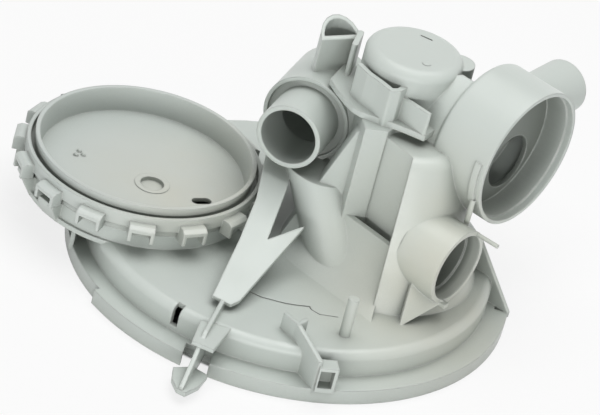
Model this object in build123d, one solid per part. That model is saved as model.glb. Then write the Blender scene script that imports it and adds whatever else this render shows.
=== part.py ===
from build123d import *
import math
import os

# Dishwasher sump stood on its flange, so that the underside of the machine faces up.
# Frame: origin at the flange centre on the seat plane, x to the right, y to the back, z up, millimetres.

# Driving dimensions
flange_radius = 130.0
wall = 3.0
basin_height = 24.0
well_height = 112.0
overall_height = 148.0
lid_rim_height = 50.0
big_socket_radius = 41.3
small_socket_radius = 22.7
hose_stub_radius = 19.0
overlap = 1.0

# Flange and basin
flange_height = 9.0
flange_left_radius = flange_radius - 3.5
flange_back_radius = flange_radius - 8.0
basin_radius = flange_radius - 13.0
basin_round = 5.0
basin_floor = basin_height - wall

# Side chamber and its lid
chamber_x = -91.4
chamber_y = 5.6
lid_floor_height = lid_rim_height - 14.5
lid_seat_height = lid_floor_height - 2.5
lid_rim_radius = 63.4
collar_radius = lid_rim_radius + 4.1
collar_height = lid_rim_height - 4.5
chamber_radius = collar_radius - 1.3
chamber_wall_radius = chamber_radius - 1.5
lug_count = 15
lug_first_bearing = 159.5
lug_width = 14.5
lug_reach = 6.5
lug_top = collar_height - 3.5

# Well
cone_x = 50.0
cone_y = -5.0
cone_foot_radius = 57.5
cone_top_radius = 29.0
cone_height = well_height - 4.5
cap_x = 41.0
cap_y = 22.5
cap_radius = 28.0
cap_height = overall_height - 3.5
flare_height = 55.2
cove_radius = 32.0
corbel_radius = 17.0
flare_bearing = 233.2
pit_bottom = flare_height - 10.0
ledge_top = well_height + 3.5

# Sockets and hose stubs
big_socket_bearing = -33.3
big_socket_mouth = (115.8, 1.4, overall_height - big_socket_radius)
big_socket_depth = 18.0
big_tube_length = 37.0
big_run_radius = big_socket_radius - 2.0
small_socket_bearing = -30.5
small_socket_mouth = (93.0, -44.0, 55.0)
small_socket_depth = 24.0
stub_bearing = -105.0
stub_mouth = (-15.5, -6.5, 86.0)
stub_length = 25.3
shoulder_radius = hose_stub_radius + 6.6
shoulder_length = 45.0
shoulder_lip = 2.5
back_stub_bearing = 60.0
back_stub_mouth = (131.0, 112.0, 97.0)
back_stub_radius = 16.0
back_stub_length = 40.0
back_run_length = 110.0


def spread(x, y, bearing, reach):
    """Point at a reach from (x, y) along a bearing in degrees."""
    angle = math.radians(bearing)
    return (x + reach * math.cos(angle), y + reach * math.sin(angle))


def plan_face(points):
    """Face over a closed plan outline."""
    return make_face(Polyline(*points, close=True))


def standing(points, bottom, top):
    """Upright prism over a closed plan outline."""
    return Pos(0, 0, bottom) * extrude(plan_face(points), top - bottom)


def post(x, y, radius, bottom, top):
    """Upright round bar."""
    return Pos(x, y, bottom) * Cylinder(radius, top - bottom, align=(Align.CENTER, Align.CENTER, Align.MIN))


def mouth_plane(mouth, bearing):
    """Plane of an open end: normal out of the mouth, local x up, local y to the right of the way out."""
    out_x, out_y = spread(0, 0, bearing, 1)
    return Plane(origin=mouth, x_dir=(0, 0, 1), z_dir=(out_x, out_y, 0))


def bar(plane, radius, start, end):
    """Round bar along a mouth's axis, from one depth to another behind the mouth."""
    return plane.offset(-end) * Cylinder(radius, end - start, align=(Align.CENTER, Align.CENTER, Align.MIN))


def behind_mouth(mouth, bearing, depth, right):
    """Plan point at a depth behind a mouth and a distance to the right of the way out."""
    x, y = spread(mouth[0], mouth[1], bearing, -depth)
    return spread(x, y, bearing - 90, right)


def upright_plate(start, end, thickness, profile):
    """Vertical plate along a line in plan; profile lists (distance from start, height)."""
    run = Vector(end[0] - start[0], end[1] - start[1], 0).normalized()
    plane = Plane(origin=(start[0], start[1], 0), x_dir=run, z_dir=run.cross(Vector(0, 0, 1)))
    return plane * extrude(plan_face(profile), thickness / 2, both=True)


def fence(points, thickness, bottom, top):
    """Upright wall of one thickness along a line in plan, with round ends."""
    wall_shape = post(*points[0], thickness / 2, bottom, top)
    for start, end in zip(points, points[1:]):
        length = math.dist(start, end)
        profile = [(0, bottom), (length, bottom), (length, top), (0, top)]
        wall_shape += upright_plate(start, end, thickness, profile)
        wall_shape += post(*end, thickness / 2, bottom, top)
    return wall_shape


def inset_outline(points, inset):
    """Counter-clockwise plan outline moved inwards by a distance."""
    moved = []
    for index, corner in enumerate(points):
        here = Vector(*corner)
        way_in = (here - Vector(*points[index - 1])).normalized()
        way_out = (Vector(*points[(index + 1) % len(points)]) - here).normalized()
        normal_in = Vector(-way_in.Y, way_in.X)
        normal_out = Vector(-way_out.Y, way_out.X)
        shift = (normal_in + normal_out) * (inset / (1 + normal_in.dot(normal_out)))
        moved.append((here.X + shift.X, here.Y + shift.Y))
    return moved


def pie(start, end):
    """Wedge of the plan between two bearings, wider than the flange."""
    rim = [spread(0, 0, start + (end - start) * step / 9, 2 * flange_radius) for step in range(10)]
    return plan_face([(0, 0), *rim])


# Flange with its turned-down lip, widest round the front
flange_outline = Circle(flange_back_radius)
flange_outline += Circle(flange_left_radius) & pie(140, 222)
flange_outline += Circle(flange_radius) & pie(222, 358.5)
flange = extrude(flange_outline, flange_height)
flange -= extrude(offset(flange_outline, -wall), flange_height - wall)

# Latch notch cut through the flange at the front left
flange -= standing([(-41, -150), (-25, -150), (-25, -118), (-40, -114)], 0, flange_height)

# Basin with a rounded shoulder; its wall runs down to the seat plane inside the gasket groove
basin = post(0, 0, basin_radius, 0, basin_height)
basin = fillet(basin.edges().group_by(Axis.Z)[-1], basin_round)
basin_space = post(0, 0, basin_radius - wall, 0, basin_floor)
basin_space = fillet(basin_space.edges().group_by(Axis.Z)[-1], basin_round - wall)
body = flange + basin

# Side chamber floor, level with the basin and overhanging the flange
body += post(chamber_x, chamber_y, chamber_radius, basin_floor, basin_height)
body += post(chamber_x, chamber_y, chamber_wall_radius, basin_height - overlap, lid_seat_height)

# Wedges that brace the overhanging chamber wall, one under each outer lug
for lug in range(1, 4):
    bearing = lug_first_bearing + lug * 360 / lug_count
    inner = spread(chamber_x, chamber_y, bearing, chamber_wall_radius - wall / 2)
    outer = spread(chamber_x, chamber_y, bearing, chamber_wall_radius + lug_reach)
    reach = lug_reach + wall / 2
    body += upright_plate(inner, outer, lug_width - 2, [
        (0, basin_floor), (wall, basin_floor), (reach, lid_seat_height - 3),
        (reach, lid_seat_height), (0, lid_seat_height),
    ])

# Rib that props the chamber on the flange
body += upright_plate((-117, -50), (-117, -28), 2.5, [
    (0, flange_height - wall), (22, flange_height - wall), (22, basin_floor + overlap),
    (0, basin_floor + overlap),
])

# Planes of the open ends
big_plane = mouth_plane(big_socket_mouth, big_socket_bearing)
small_plane = mouth_plane(small_socket_mouth, small_socket_bearing)
stub_plane = mouth_plane(stub_mouth, stub_bearing)
back_plane = mouth_plane(back_stub_mouth, back_stub_bearing)

# Plan outlines of the well front: pocket beside the cone, upright block behind it, pit at its foot
cone_side = 53.5
pocket_outline = [
    (20, -12), (-40, -5), (-40, -100), (cone_side, -100), (cone_side, -30), (36, -15),
]
block_outline = [
    (17, 12), (22, -13), (24.5, -20.5), (37, -17.5), (41, -9), (55, 0), (58, 30), (30, 52), (0, 44), (4, 20),
]
pit_outline = [(29, -17.5), (cone_side + 4, -39.2), (cone_side + 4, -20), (38, -8)]

# Plan of the near side of the big socket's tube, which runs on past the tube's square end to the cap
big_run_outline = [
    behind_mouth(big_socket_mouth, big_socket_bearing, depth, right)
    for depth, right in [(22, 17), (big_tube_length + 8, 17), (60, 30), (85, 46), (85, 60), (22, 60)]
]


def cone_shape(inset, bottom):
    """Conical well wall, cut away at the front left, shrunk by an inset."""
    height = cone_height - inset - basin_floor
    slope = (cone_foot_radius - cone_top_radius) / (cone_height - basin_floor)
    low_radius = cone_foot_radius - inset
    cone = Pos(cone_x, cone_y, basin_floor) * Cone(
        low_radius, low_radius - slope * height, height, align=(Align.CENTER, Align.CENTER, Align.MIN))
    cone = fillet(cone.edges().group_by(Axis.Z)[-1], 8 - inset)
    if bottom < basin_floor:
        cone += post(cone_x, cone_y, low_radius, bottom, basin_floor)
    return cone - standing(inset_outline(pocket_outline, -inset), bottom, well_height)


def flare_shape(inset, bottom):
    """Hollow-curved foot in front of the upright block, rounded off at its left end, shrunk by an inset."""
    reach = cove_radius + inset
    foot = cove_radius + 7
    top = flare_height - inset
    side = foot - math.sqrt(reach**2 - inset**2)
    half_way = reach / math.sqrt(2)
    cove = ThreePointArc(
        (foot, flare_height - reach), (foot - half_way, flare_height - half_way), (side, top))
    rest = Polyline((side, top), (0, top), (0, bottom), (foot, bottom), (foot, flare_height - reach))
    profile = make_face([cove, rest])
    left = Vector(26.2, -11, 0)
    run = Vector(*spread(0, 0, flare_bearing + 90, 1), 0)
    plane = Plane(origin=left, x_dir=(*spread(0, 0, flare_bearing, 1), 0), z_dir=-run)
    flare = extrude(plane * profile, 66, dir=run)
    flare += Pos(left) * revolve(Plane.XZ * profile, Axis.Z)
    beyond = [(cone_side + overlap, -150), (150, -150), (150, 100), (cone_side + overlap, 100)]
    flare -= standing(beyond, bottom, flare_height)
    return flare - standing(inset_outline(pit_outline, -inset), pit_bottom - inset, flare_height)


def corbel_shape(inset):
    """Slanting round overhang that carries the hose stub out from the well, shrunk by an inset."""
    foot = Vector(31, -22, basin_floor)
    lean = Vector(3, 7, stub_mouth[2] - hose_stub_radius) - foot
    stem = Plane(origin=foot, z_dir=lean) * Cylinder(corbel_radius - inset, 3 * lean.length)
    level_bottom = basin_floor + overlap - inset
    level_top = stub_mouth[2] - hose_stub_radius - 1.5 - inset
    return stem & standing([(-60, -80), (90, -80), (90, 80), (-60, 80)], level_bottom, level_top)


def big_run(inset, start):
    """Near side of the big socket's tube from a depth behind its mouth, shrunk by an inset."""
    run = bar(big_plane, big_run_radius - inset, start, 100)
    return run & standing(inset_outline(big_run_outline, inset), basin_height, 2 * overall_height)


# Outside of the well, its cap, sockets and stubs
body += cone_shape(0, basin_floor)
body += flare_shape(0, basin_floor)
body += standing(block_outline, basin_floor, well_height)
body += corbel_shape(0)
body += bar(stub_plane, shoulder_radius, stub_length, stub_length + shoulder_length)
body += bar(stub_plane, hose_stub_radius, 0, stub_length + overlap)
cap = post(cap_x, cap_y, cap_radius, well_height - 10, cap_height)
body += fillet(cap.edges().group_by(Axis.Z)[-1], 6)
body += post(cap_x + 25, cap_y + 5, 9, cone_height, cap_height - 4)
big_tube = bar(big_plane, big_socket_radius, 0, big_tube_length)
body += fillet(big_tube.edges().filter_by(GeomType.CIRCLE).sort_by(Axis.X)[0], 3)
body += big_run(0, 20)
body += bar(back_plane, back_stub_radius, 0, back_run_length)
body += bar(back_plane, back_stub_radius + 1.5, back_stub_length, back_run_length)
small_tube = bar(small_plane, small_socket_radius, 0, small_socket_depth + wall)
body += small_tube

# Ledge round the front of the cap, with two upright guide walls on it
ledge_outline = [
    (-1, 17), (4, 8), (10, -1), (15, -7), (20, -10), (31, -12), (43, -14), (57, -18), (64, -4),
    (40, 30), (5, 40),
]
body += standing(ledge_outline, well_height, ledge_top)
guide_line = [(13, 7), (19, 0), (26, -5.5), (33, -12), (37, -10), (41, -2)]
body += fence(guide_line, 3.2, well_height, ledge_top + 19.5)
body += fence([(41, -6), (56, -16.3)], 2.5, well_height, ledge_top + 13.5)

# Vent pipe with a flat front and a slanting mouth, and the rib beside it
vent_centre = (-0.5, 34.5)
vent_outline = [spread(*vent_centre, 33 + 20 * step, 12.5) for step in range(10)]
vent = standing(vent_outline, well_height - 12, overall_height)
vent -= standing(inset_outline(vent_outline, 2), well_height + 2, overall_height)
vent -= upright_plate(spread(*vent_centre, -57, 20), spread(*vent_centre, 123, 20), 60, [
    (0, 124), (20, 132), (40, 146), (40, 200), (0, 200),
])
body += vent
body += fence([(7.4, 27), (9, 42)], 3.4, well_height - 10, ledge_top + 20)

# Hollow inside of the well, open to the basin below
body -= basin_space
body -= cone_shape(wall, 0)
body -= flare_shape(wall, 0)
body -= standing(inset_outline(block_outline, wall), 0, well_height - wall)
body -= corbel_shape(wall)
shoulder_face = stub_length + shoulder_lip
body -= bar(stub_plane, shoulder_radius - wall, shoulder_face + wall, stub_length + shoulder_length - wall)
body -= bar(stub_plane, hose_stub_radius - 2.7, 0, shoulder_face + 2 * wall)
shoulder_groove = bar(stub_plane, shoulder_radius - 2.2, stub_length - overlap, shoulder_face)
body -= shoulder_groove - bar(stub_plane, hose_stub_radius, 0, shoulder_face + overlap)
body -= post(cap_x, cap_y, cap_radius - wall, well_height - 12, cap_height - wall)
body -= bar(big_plane, big_socket_radius - wall, big_socket_depth + wall, big_tube_length - wall)
body -= big_run(wall, big_socket_depth + wall)
body -= bar(big_plane, big_socket_radius - wall, 0, big_socket_depth)
body -= bar(big_plane, big_socket_radius - wall + 0.8, 0, 4)
body -= big_plane.offset(-big_socket_depth) * Pos(-15.5, -11, 0) * Cylinder(16.5, 4 * wall)
body -= bar(back_plane, back_stub_radius - 2.7, 0, back_run_length - 2 * wall)
body += small_tube
body -= bar(small_plane, small_socket_radius - 2.7, 0, 9)
body -= bar(small_plane, small_socket_radius - 4.2, 0, small_socket_depth)
body -= bar(small_plane, 8, 0, small_socket_depth + 3 * wall)

# Side chamber's hollow and its port into the basin
body -= post(chamber_x, chamber_y, chamber_wall_radius - wall, basin_height, lid_seat_height)
body -= post(chamber_x + 22, chamber_y, 14, basin_floor, basin_height)

# Brace under the hose stub: a sloping plate that narrows towards the latch
brace_rise = 0.3125
brace_cosine = 1 / math.hypot(1, brace_rise)
brace_plane = Plane(origin=(0, -93, 30), x_dir=(1, 0, 0), z_dir=(0, -brace_rise * brace_cosine, brace_cosine))
brace_plan = [
    (-33, -94), (-22, -97), (-18, -93), (6, -33), (3, -35), (-12, -48), (-9, -11), (-9, 26), (-26, 26),
    (-24, -22), (-27, -53),
]
brace_face = plan_face([(x, (y + 93) / brace_cosine) for x, y in brace_plan])
body += brace_plane * extrude(brace_face, -2.5)

# Latch at the front left: an upright web, a level plate and a finger tab out past the flange
body += upright_plate((-26, -90), (-36, -158), 2.4, [
    (0, basin_floor + overlap), (0, 29.5), (34, basin_height + 2.5), (67, 9.5), (67, 5), (25, 5),
    (25, basin_floor + overlap),
])
latch_plate = [(-35.4, -112), (-36.8, -132.6), (-24.4, -135.9), (-18.5, -112)]
body += standing(latch_plate, basin_height - 2.5, basin_height)
tab_outline = [(-43, -138), (-42, -148), (-38, -156), (-33, -158), (-27, -149), (-24, -137), (-33, -133)]
body += standing(tab_outline, 5, 8)

# Cable clip at the front: a forked web down to a small open box on the flange
clip_fork = (16, -106)
body += fence([(8, -99), clip_fork, (19.5, -100.5)], 2.4, basin_floor + overlap, basin_height + 10)
body += upright_plate(clip_fork, (33, -126), 2.6, [
    (0, basin_floor + overlap), (0, basin_height + 10), (26, basin_height + 3), (26, 6), (9, 6),
    (9, basin_floor + overlap),
])
clip_box = [(33, -127.5), (43.5, -124.5), (41, -116), (31.5, -119)]
body += standing(clip_box, flange_height - overlap, basin_height)
clip_hollow = [(34.5, -130), (42.3, -128), (40, -118.5), (32.9, -120.5)]
body -= standing(clip_hollow, flange_height + 2, basin_height - 2)

# Locating post and the gusset at the right-hand end of the wide flange
body += post(41.6, -90, 3.1, basin_floor + overlap, basin_height * 2)
body += upright_plate((104, 13), (131, -4), 2.4, [
    (0, basin_floor + overlap), (0, 43), (31, 9.5), (31, flange_height - wall), (15, flange_height - wall),
    (15, basin_floor + overlap),
])

# Sloping web under the small socket's near side
web_corners = [(70.5, -54, 44), (70, -67.5, 23), (91, -51, 36)]
body += extrude(make_face(Polyline(*web_corners, close=True)), -2.5)

# Stay between the two sockets, finger and nub on the small socket's mouth, bead beside the big socket's mouth
body += post(91.5, -29, 1.6, small_socket_mouth[2] + 17.5, small_socket_mouth[2] + 36)
finger_seat = small_plane.offset(-4) * Pos(17.6, -12, 0)
body += finger_seat * Cylinder(1.2, 18, align=(Align.CENTER, Align.CENTER, Align.MIN))
body += small_plane * Pos(-20.5, 8, 1) * Box(2.6, 4, 6)
bead = bar(big_plane, big_socket_radius + 1.6, 3, 7) - bar(big_plane, big_socket_radius - overlap, 0, 10)
body += bead & (big_plane.offset(-5) * Pos(-5, big_socket_radius, 0) * Box(26, big_socket_radius, 10))

# Slot through the basin shoulder, vent slit in the cap, gate mark
body -= upright_plate(spread(0, 0, 245, 111.5), spread(0, 0, 245, 125), 4.4, [
    (0, flange_height + 3), (13.5, flange_height + 3), (13.5, basin_height + 1), (0, basin_height + 1),
])
body -= fence([(42, 39), (48, 37)], 1.2, cap_height - 1.2, cap_height + 1)
body += post(48, 9, 2.4, cap_height - 1, cap_height + 0.3)

# Crack across the basin floor
crack_bottom = basin_height - 1.4
body -= fence([(-17, -72), (-7, -75), (6, -75), (12, -74), (19.5, -72)], 0.9, crack_bottom, basin_height + 1)
body -= fence([(19.5, -72), (21, -74.5), (26, -77), (36, -75)], 0.6, crack_bottom, basin_height + 1)

# Lid: a shallow dish with a grooved collar
lid_wall = 2.5
groove_floor = collar_height - 5.5
lid_profile = [
    (0, lid_seat_height), (chamber_wall_radius, lid_seat_height),
    (chamber_wall_radius, groove_floor - lid_wall), (collar_radius, groove_floor - lid_wall),
    (collar_radius, collar_height), (collar_radius - 2.2, collar_height),
    (collar_radius - 2.2, groove_floor), (lid_rim_radius - 1.2, groove_floor),
    (lid_rim_radius, lid_rim_height), (lid_rim_radius - lid_wall, lid_rim_height),
    (lid_rim_radius - lid_wall - 2.2, lid_floor_height), (0, lid_floor_height),
]
lid = Pos(chamber_x, chamber_y, 0) * revolve(Plane.XZ * plan_face(lid_profile), Axis.Z)

# Snap lugs round the collar, each an arch over an open window
for lug in range(lug_count):
    bearing = lug_first_bearing + lug * 360 / lug_count
    inner = spread(chamber_x, chamber_y, bearing, collar_radius - overlap)
    face = spread(chamber_x, chamber_y, bearing, collar_radius)
    outer = spread(chamber_x, chamber_y, bearing, collar_radius + lug_reach)
    reach = lug_reach + overlap
    lid += upright_plate(inner, outer, lug_width, [
        (0, lid_seat_height), (reach, lid_seat_height), (reach, lug_top - 1.5), (reach - 2.5, lug_top),
        (0, lug_top),
    ])
    lid -= upright_plate(face, outer, lug_width - 4, [
        (0, 0), (2 * lug_reach, 0), (2 * lug_reach, lug_top - 3.5), (0, lug_top - 3.5),
    ])

# Dimple in a raised ring, moulding pips and drain slot in the dish
lid += post(-83, -9, 10, lid_floor_height - overlap, lid_floor_height + 0.4)
lid -= post(-83, -9, 6.8, lid_seat_height + 0.6, lid_floor_height + 1)
for pip_x, pip_y in [(-129, 0), (-125, 2), (-128, 5)]:
    lid += Pos(pip_x, pip_y, lid_floor_height) * Sphere(1.6)
lid -= fence([(-56, -14.5), (-51, -12)], 6, lid_seat_height, lid_floor_height + 1)

os.makedirs("parts", exist_ok=True)
for name, piece in {"sump_body": body, "chamber_lid": lid}.items():
    export_step(piece, f"parts/{name}.step")
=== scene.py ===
import math

import bpy
from mathutils import Matrix, Vector


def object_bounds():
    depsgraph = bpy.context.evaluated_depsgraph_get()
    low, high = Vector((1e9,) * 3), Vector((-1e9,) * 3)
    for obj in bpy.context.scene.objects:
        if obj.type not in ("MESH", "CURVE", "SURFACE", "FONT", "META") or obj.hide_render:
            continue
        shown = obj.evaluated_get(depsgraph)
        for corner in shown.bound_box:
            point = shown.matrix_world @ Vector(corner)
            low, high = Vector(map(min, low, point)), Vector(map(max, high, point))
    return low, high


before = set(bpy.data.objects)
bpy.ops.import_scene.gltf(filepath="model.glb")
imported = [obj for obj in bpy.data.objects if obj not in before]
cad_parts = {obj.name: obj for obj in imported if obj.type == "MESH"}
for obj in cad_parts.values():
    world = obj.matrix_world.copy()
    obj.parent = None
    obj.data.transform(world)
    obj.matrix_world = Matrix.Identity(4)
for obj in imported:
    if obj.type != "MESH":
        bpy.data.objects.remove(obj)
cad_low, cad_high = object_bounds()
scene = bpy.context.scene


# Sump body: one injection moulding in pale grey polypropylene, with flange, basin, well, sockets and stubs.
# The satin skin has a fine mould grain, broad sink waves and pale rubbed edges, with painted shade in its
# corners, hollows and bores.
# It is fixed in the machine by its flange, which seats on the tub's gasket.
def moulded_plastic(name, colour, stained, shaded_bores=()):
    """Satin polypropylene after service, stained near one place, with painted shade in closed-in places and
    inside the given bores.
    """
    material = bpy.data.materials.new(name)
    material.use_nodes = True
    nodes = material.node_tree.nodes
    link = material.node_tree.links.new
    shader = nodes["Principled BSDF"]
    place = nodes.new("ShaderNodeTexCoord").outputs["Object"]

    def noise(scale, detail):
        texture = nodes.new("ShaderNodeTexNoise")
        texture.inputs["Scale"].default_value = scale
        texture.inputs["Detail"].default_value = detail
        link(place, texture.inputs["Vector"])
        return texture.outputs["Fac"]

    def spread(value, low, high, start, end):
        """A value spread from the range low to high over the range start to end, and held at its ends."""
        ramp = nodes.new("ShaderNodeMapRange")
        ramp.inputs["From Min"].default_value = low
        ramp.inputs["From Max"].default_value = high
        ramp.inputs["To Min"].default_value = start
        ramp.inputs["To Max"].default_value = end
        link(value, ramp.inputs["Value"])
        return ramp.outputs["Result"]

    def times(first, second):
        node = nodes.new("ShaderNodeMath")
        node.operation = "MULTIPLY"
        link(first, node.inputs[0])
        link(second, node.inputs[1])
        return node.outputs["Value"]

    def tint(base, factor, shade):
        """A base colour, or the colour of an earlier tint, mixed with a shade by a factor."""
        node = nodes.new("ShaderNodeMix")
        node.data_type = "RGBA"
        link(factor, node.inputs["Factor"])
        if isinstance(base, tuple):
            node.inputs["A"].default_value = base
        else:
            link(base, node.inputs["A"])
        node.inputs["B"].default_value = shade
        return node.outputs["Result"]

    def ripple(height, reach, strength, under):
        """Surface direction of small waves on top of the surface direction under them."""
        node = nodes.new("ShaderNodeBump")
        node.inputs["Distance"].default_value = reach
        node.inputs["Strength"].default_value = strength
        link(height, node.inputs["Height"])
        link(under, node.inputs["Normal"])
        return node.outputs["Normal"]

    def away(point):
        """Distance in metres from a point of the object."""
        node = nodes.new("ShaderNodeVectorMath")
        node.operation = "DISTANCE"
        node.inputs[1].default_value = point
        link(place, node.inputs[0])
        return node.outputs["Value"]

    def hidden(reach, low, high, most):
        """Share of painted shade at a point: most where surfaces within reach close it in, none in the open.
        """
        closed_in = nodes.new("ShaderNodeAmbientOcclusion")
        closed_in.samples = 8
        closed_in.inputs["Distance"].default_value = reach
        return spread(closed_in.outputs["AO"], low=low, high=high, start=most, end=0.0)

    # Edges rubbed pale in patches: where a rounded normal turns away from the true one
    rounded = nodes.new("ShaderNodeBevel")
    rounded.samples = 6
    rounded.inputs["Radius"].default_value = 0.0015
    rounded_normal = rounded.outputs["Normal"]
    facing = nodes.new("ShaderNodeVectorMath")
    facing.operation = "DOT_PRODUCT"
    link(rounded_normal, facing.inputs[0])
    link(nodes.new("ShaderNodeNewGeometry").outputs["Normal"], facing.inputs[1])
    edge = spread(facing.outputs["Value"], low=0.98, high=0.86, start=0.0, end=0.45)
    rubbed_patches = spread(noise(scale=70, detail=4), low=0.35, high=0.6, start=0.2, end=1.0)
    rubbed = times(edge, rubbed_patches)

    # Uneven colour of the moulding
    mottled_shade = (0.525, 0.565, 0.53, 1)
    mottle = spread(noise(scale=14, detail=5), low=0.4, high=0.75, start=0.0, end=0.35)
    mottled = tint(colour, mottle, mottled_shade)

    # Warm stain of hard water near one place
    stain_shade = (0.62, 0.59, 0.47, 1)
    near_stain = spread(away(stained), low=0.09, high=0.02, start=0.0, end=0.75)
    warm = tint(mottled, times(near_stain, noise(scale=22, detail=4)), stain_shade)

    # Painted shade in closed-in places, such as dishes and the insides of tubes, in patches
    closed_in_shade = (0.29, 0.315, 0.29, 1)
    closed_in_share = hidden(reach=0.06, low=0.35, high=0.8, most=0.8)
    closed_in_patches = spread(noise(scale=18, detail=4), low=0.3, high=0.7, start=0.75, end=1.0)
    shaded_colour = tint(warm, times(closed_in_share, closed_in_patches), closed_in_shade)

    # Painted shade inside the given bores, ending just short of their outer walls and mouths
    bore_shade = (0.15, 0.165, 0.145, 1)
    full_share = 0.94
    for middle, reach in shaded_bores:
        bore_shade_share = spread(away(middle), low=reach, high=full_share * reach, start=0.0, end=0.85)
        shaded_colour = tint(shaded_colour, bore_shade_share, bore_shade)

    # Painted shade in the tight corners, in patches, and the rubbed edges over everything
    corner_shade = (0.25, 0.26, 0.23, 1)
    corner_share = hidden(reach=0.012, low=0.15, high=0.7, most=0.4)
    corner_patches = spread(noise(scale=40, detail=5), low=0.3, high=0.65, start=0.45, end=1.0)
    corner_shaded = tint(shaded_colour, times(corner_share, corner_patches), corner_shade)
    rubbed_shade = (0.8, 0.82, 0.78, 1)
    link(tint(corner_shaded, rubbed, rubbed_shade), shader.inputs["Base Color"])

    # Satin sheen, uneven in patches, over sink waves and mould grain
    sheen = spread(noise(scale=60, detail=6), low=0.3, high=0.7, start=0.28, end=0.44)
    link(sheen, shader.inputs["Roughness"])
    shader.inputs["IOR"].default_value = 1.49
    waves = ripple(noise(scale=28, detail=2), reach=0.0012, strength=0.25, under=rounded_normal)
    grain = ripple(noise(scale=2600, detail=3), reach=0.00012, strength=0.2, under=waves)
    link(grain, shader.inputs["Normal"])
    return material


body_colour = (0.588, 0.636, 0.6, 1)
body_stain = (0.085, -0.045, 0.045)
# Middles and reaches of the two bores that get painted shade inside
big_bore_middle = (0.1041, 0.0091, 0.1067)
big_bore_reach = 0.0398
small_bore_middle = (0.0809, -0.0369, 0.055)
small_bore_reach = 0.0222
body_shaded_bores = [(big_bore_middle, big_bore_reach), (small_bore_middle, small_bore_reach)]
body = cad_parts["sump_body"]
body.data.materials.clear()
body.data.materials.append(moulded_plastic("sump_plastic", body_colour, body_stain, body_shaded_bores))

# Chamber lid: a separately moulded dish in the same plastic, a shade cooler than the body.
# It is pressed down on the side chamber's wall and held by the snap lugs round its collar.
lid_colour = (0.588, 0.633, 0.605, 1)
lid_stain = (-0.05, -0.012, 0.036)
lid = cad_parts["chamber_lid"]
lid.data.materials.clear()
lid.data.materials.append(moulded_plastic("lid_plastic", lid_colour, lid_stain))

# Curved faces are shaded smooth and the moulding's sharp corners stay sharp
corner_angle = math.radians(28)
for piece in (body, lid):
    for face in piece.data.polygons:
        face.use_smooth = True
    piece.data.set_sharp_from_angle(angle=corner_angle)

# Studio floor: a sheet of white paper, plain and matt, that lies under the flange.
# It is lifted towards white where it is seen directly, and it keeps the object's shadow.
paper_side = 8
bpy.ops.mesh.primitive_plane_add(size=paper_side, location=(0, 0, cad_low.z))
floor = bpy.context.object
floor.name = "studio_floor"
paper = bpy.data.materials.new("white_paper")
paper.use_nodes = True
paper_nodes = paper.node_tree.nodes
paper_link = paper.node_tree.links.new
paper_shader = paper_nodes["Principled BSDF"]
paper_shader.inputs["Base Color"].default_value = (0.9, 0.9, 0.9, 1)
paper_shader.inputs["Roughness"].default_value = 0.9
paper_glow = paper_nodes.new("ShaderNodeEmission")
paper_glow.inputs["Strength"].default_value = 1


def seen_directly(tree):
    """1 for a ray that shows in the picture, straight, mirrored or through glass, and 0 for other light."""
    path = tree.nodes.new("ShaderNodeLightPath")
    seen = path.outputs["Is Camera Ray"]
    for ray in ("Is Glossy Ray", "Is Transmission Ray"):
        either = tree.nodes.new("ShaderNodeMath")
        either.operation = "MAXIMUM"
        tree.links.new(seen, either.inputs[0])
        tree.links.new(path.outputs[ray], either.inputs[1])
        seen = either.outputs["Value"]
    return seen


# Under the basin, where the paper only shows through the slots, it isn't lifted
unlifted_radius = 0.12
lift_blur = 0.001
lift_share = 0.8
from_middle = paper_nodes.new("ShaderNodeVectorMath")
from_middle.operation = "LENGTH"
paper_link(paper_nodes.new("ShaderNodeTexCoord").outputs["Object"], from_middle.inputs[0])
lift = paper_nodes.new("ShaderNodeMapRange")
lift.inputs["From Min"].default_value = unlifted_radius - lift_blur
lift.inputs["From Max"].default_value = unlifted_radius + lift_blur
lift.inputs["To Max"].default_value = lift_share
paper_link(from_middle.outputs["Value"], lift.inputs["Value"])
lifted = paper_nodes.new("ShaderNodeMath")
lifted.operation = "MULTIPLY"
paper_link(seen_directly(paper.node_tree), lifted.inputs[0])
paper_link(lift.outputs["Result"], lifted.inputs[1])
paper_mix = paper_nodes.new("ShaderNodeMixShader")
paper_link(lifted.outputs["Value"], paper_mix.inputs["Fac"])
paper_link(paper_shader.outputs["BSDF"], paper_mix.inputs[1])
paper_link(paper_glow.outputs["Emission"], paper_mix.inputs[2])
paper_link(paper_mix.outputs["Shader"], paper_nodes["Material Output"].inputs["Surface"])
floor.data.materials.append(paper)

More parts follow.
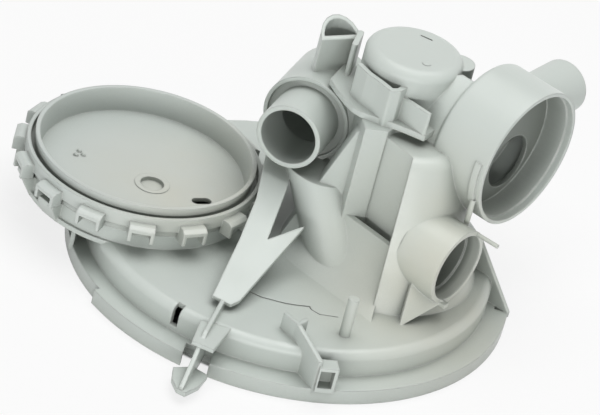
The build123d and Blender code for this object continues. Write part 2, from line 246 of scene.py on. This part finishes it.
# Soft light: pale surroundings that show as white, a wide lamp overhead and a low strip in front.
# The level is plain, so that the plastic's colour comes out about as it is written.
fill_strength = 0.27
shown_strength = 1
world = bpy.data.worlds.new("studio")
scene.world = world
world.use_nodes = True
surround = world.node_tree.nodes["Background"]
surround.inputs["Color"].default_value = (1, 1, 1, 1)
brightness = world.node_tree.nodes.new("ShaderNodeMapRange")
brightness.inputs["To Min"].default_value = fill_strength
brightness.inputs["To Max"].default_value = shown_strength
world.node_tree.links.new(seen_directly(world.node_tree), brightness.inputs["Value"])
world.node_tree.links.new(brightness.outputs["Result"], surround.inputs["Strength"])


def softbox(name, place, width, height, power):
    """Area lamp of a width and height in metres and a power in watts, turned to the object."""
    lamp = bpy.data.lights.new(name, "AREA")
    lamp.shape = "RECTANGLE"
    lamp.size = width
    lamp.size_y = height
    lamp.energy = power
    holder = bpy.data.objects.new(name, lamp)
    scene.collection.objects.link(holder)
    holder.location = place
    holder.rotation_euler = (-Vector(place)).to_track_quat("-Z", "Y").to_euler()


softbox("overhead", place=(0.1, 0.15, 1.6), width=1.4, height=1.4, power=19.5)
softbox("front_strip", place=(0.0, -1.65, 0.14), width=2.2, height=0.2, power=15)

# Camera at the photograph's viewing angle, tilted as the photograph is.
# Its lens, distance and shifts were fitted to the round edges of the basin and the lid.
image_width = 600
focal_pixels = 3307.2
elevation = math.radians(31.7)
roll = math.radians(14.7)
distance = 1.8843
shift_right = 0.0093
shift_up = 0.0324
right = Vector((1, 0, 0))
forward = Vector((0, math.cos(elevation), -math.sin(elevation)))
up = right.cross(forward)
rolled_right = right * math.cos(roll) + up * math.sin(roll)
rolled_up = up * math.cos(roll) - right * math.sin(roll)
camera_data = bpy.data.cameras.new("photo_camera")
camera_data.sensor_width = 36
camera_data.lens = focal_pixels * camera_data.sensor_width / image_width
camera = bpy.data.objects.new("photo_camera", camera_data)
scene.collection.objects.link(camera)
stance = Matrix((rolled_right, rolled_up, -forward)).transposed().to_4x4()
stance.translation = forward * -distance + rolled_right * shift_right + rolled_up * shift_up
camera.matrix_world = stance
scene.camera = camera
scene.view_settings.view_transform = "Standard"
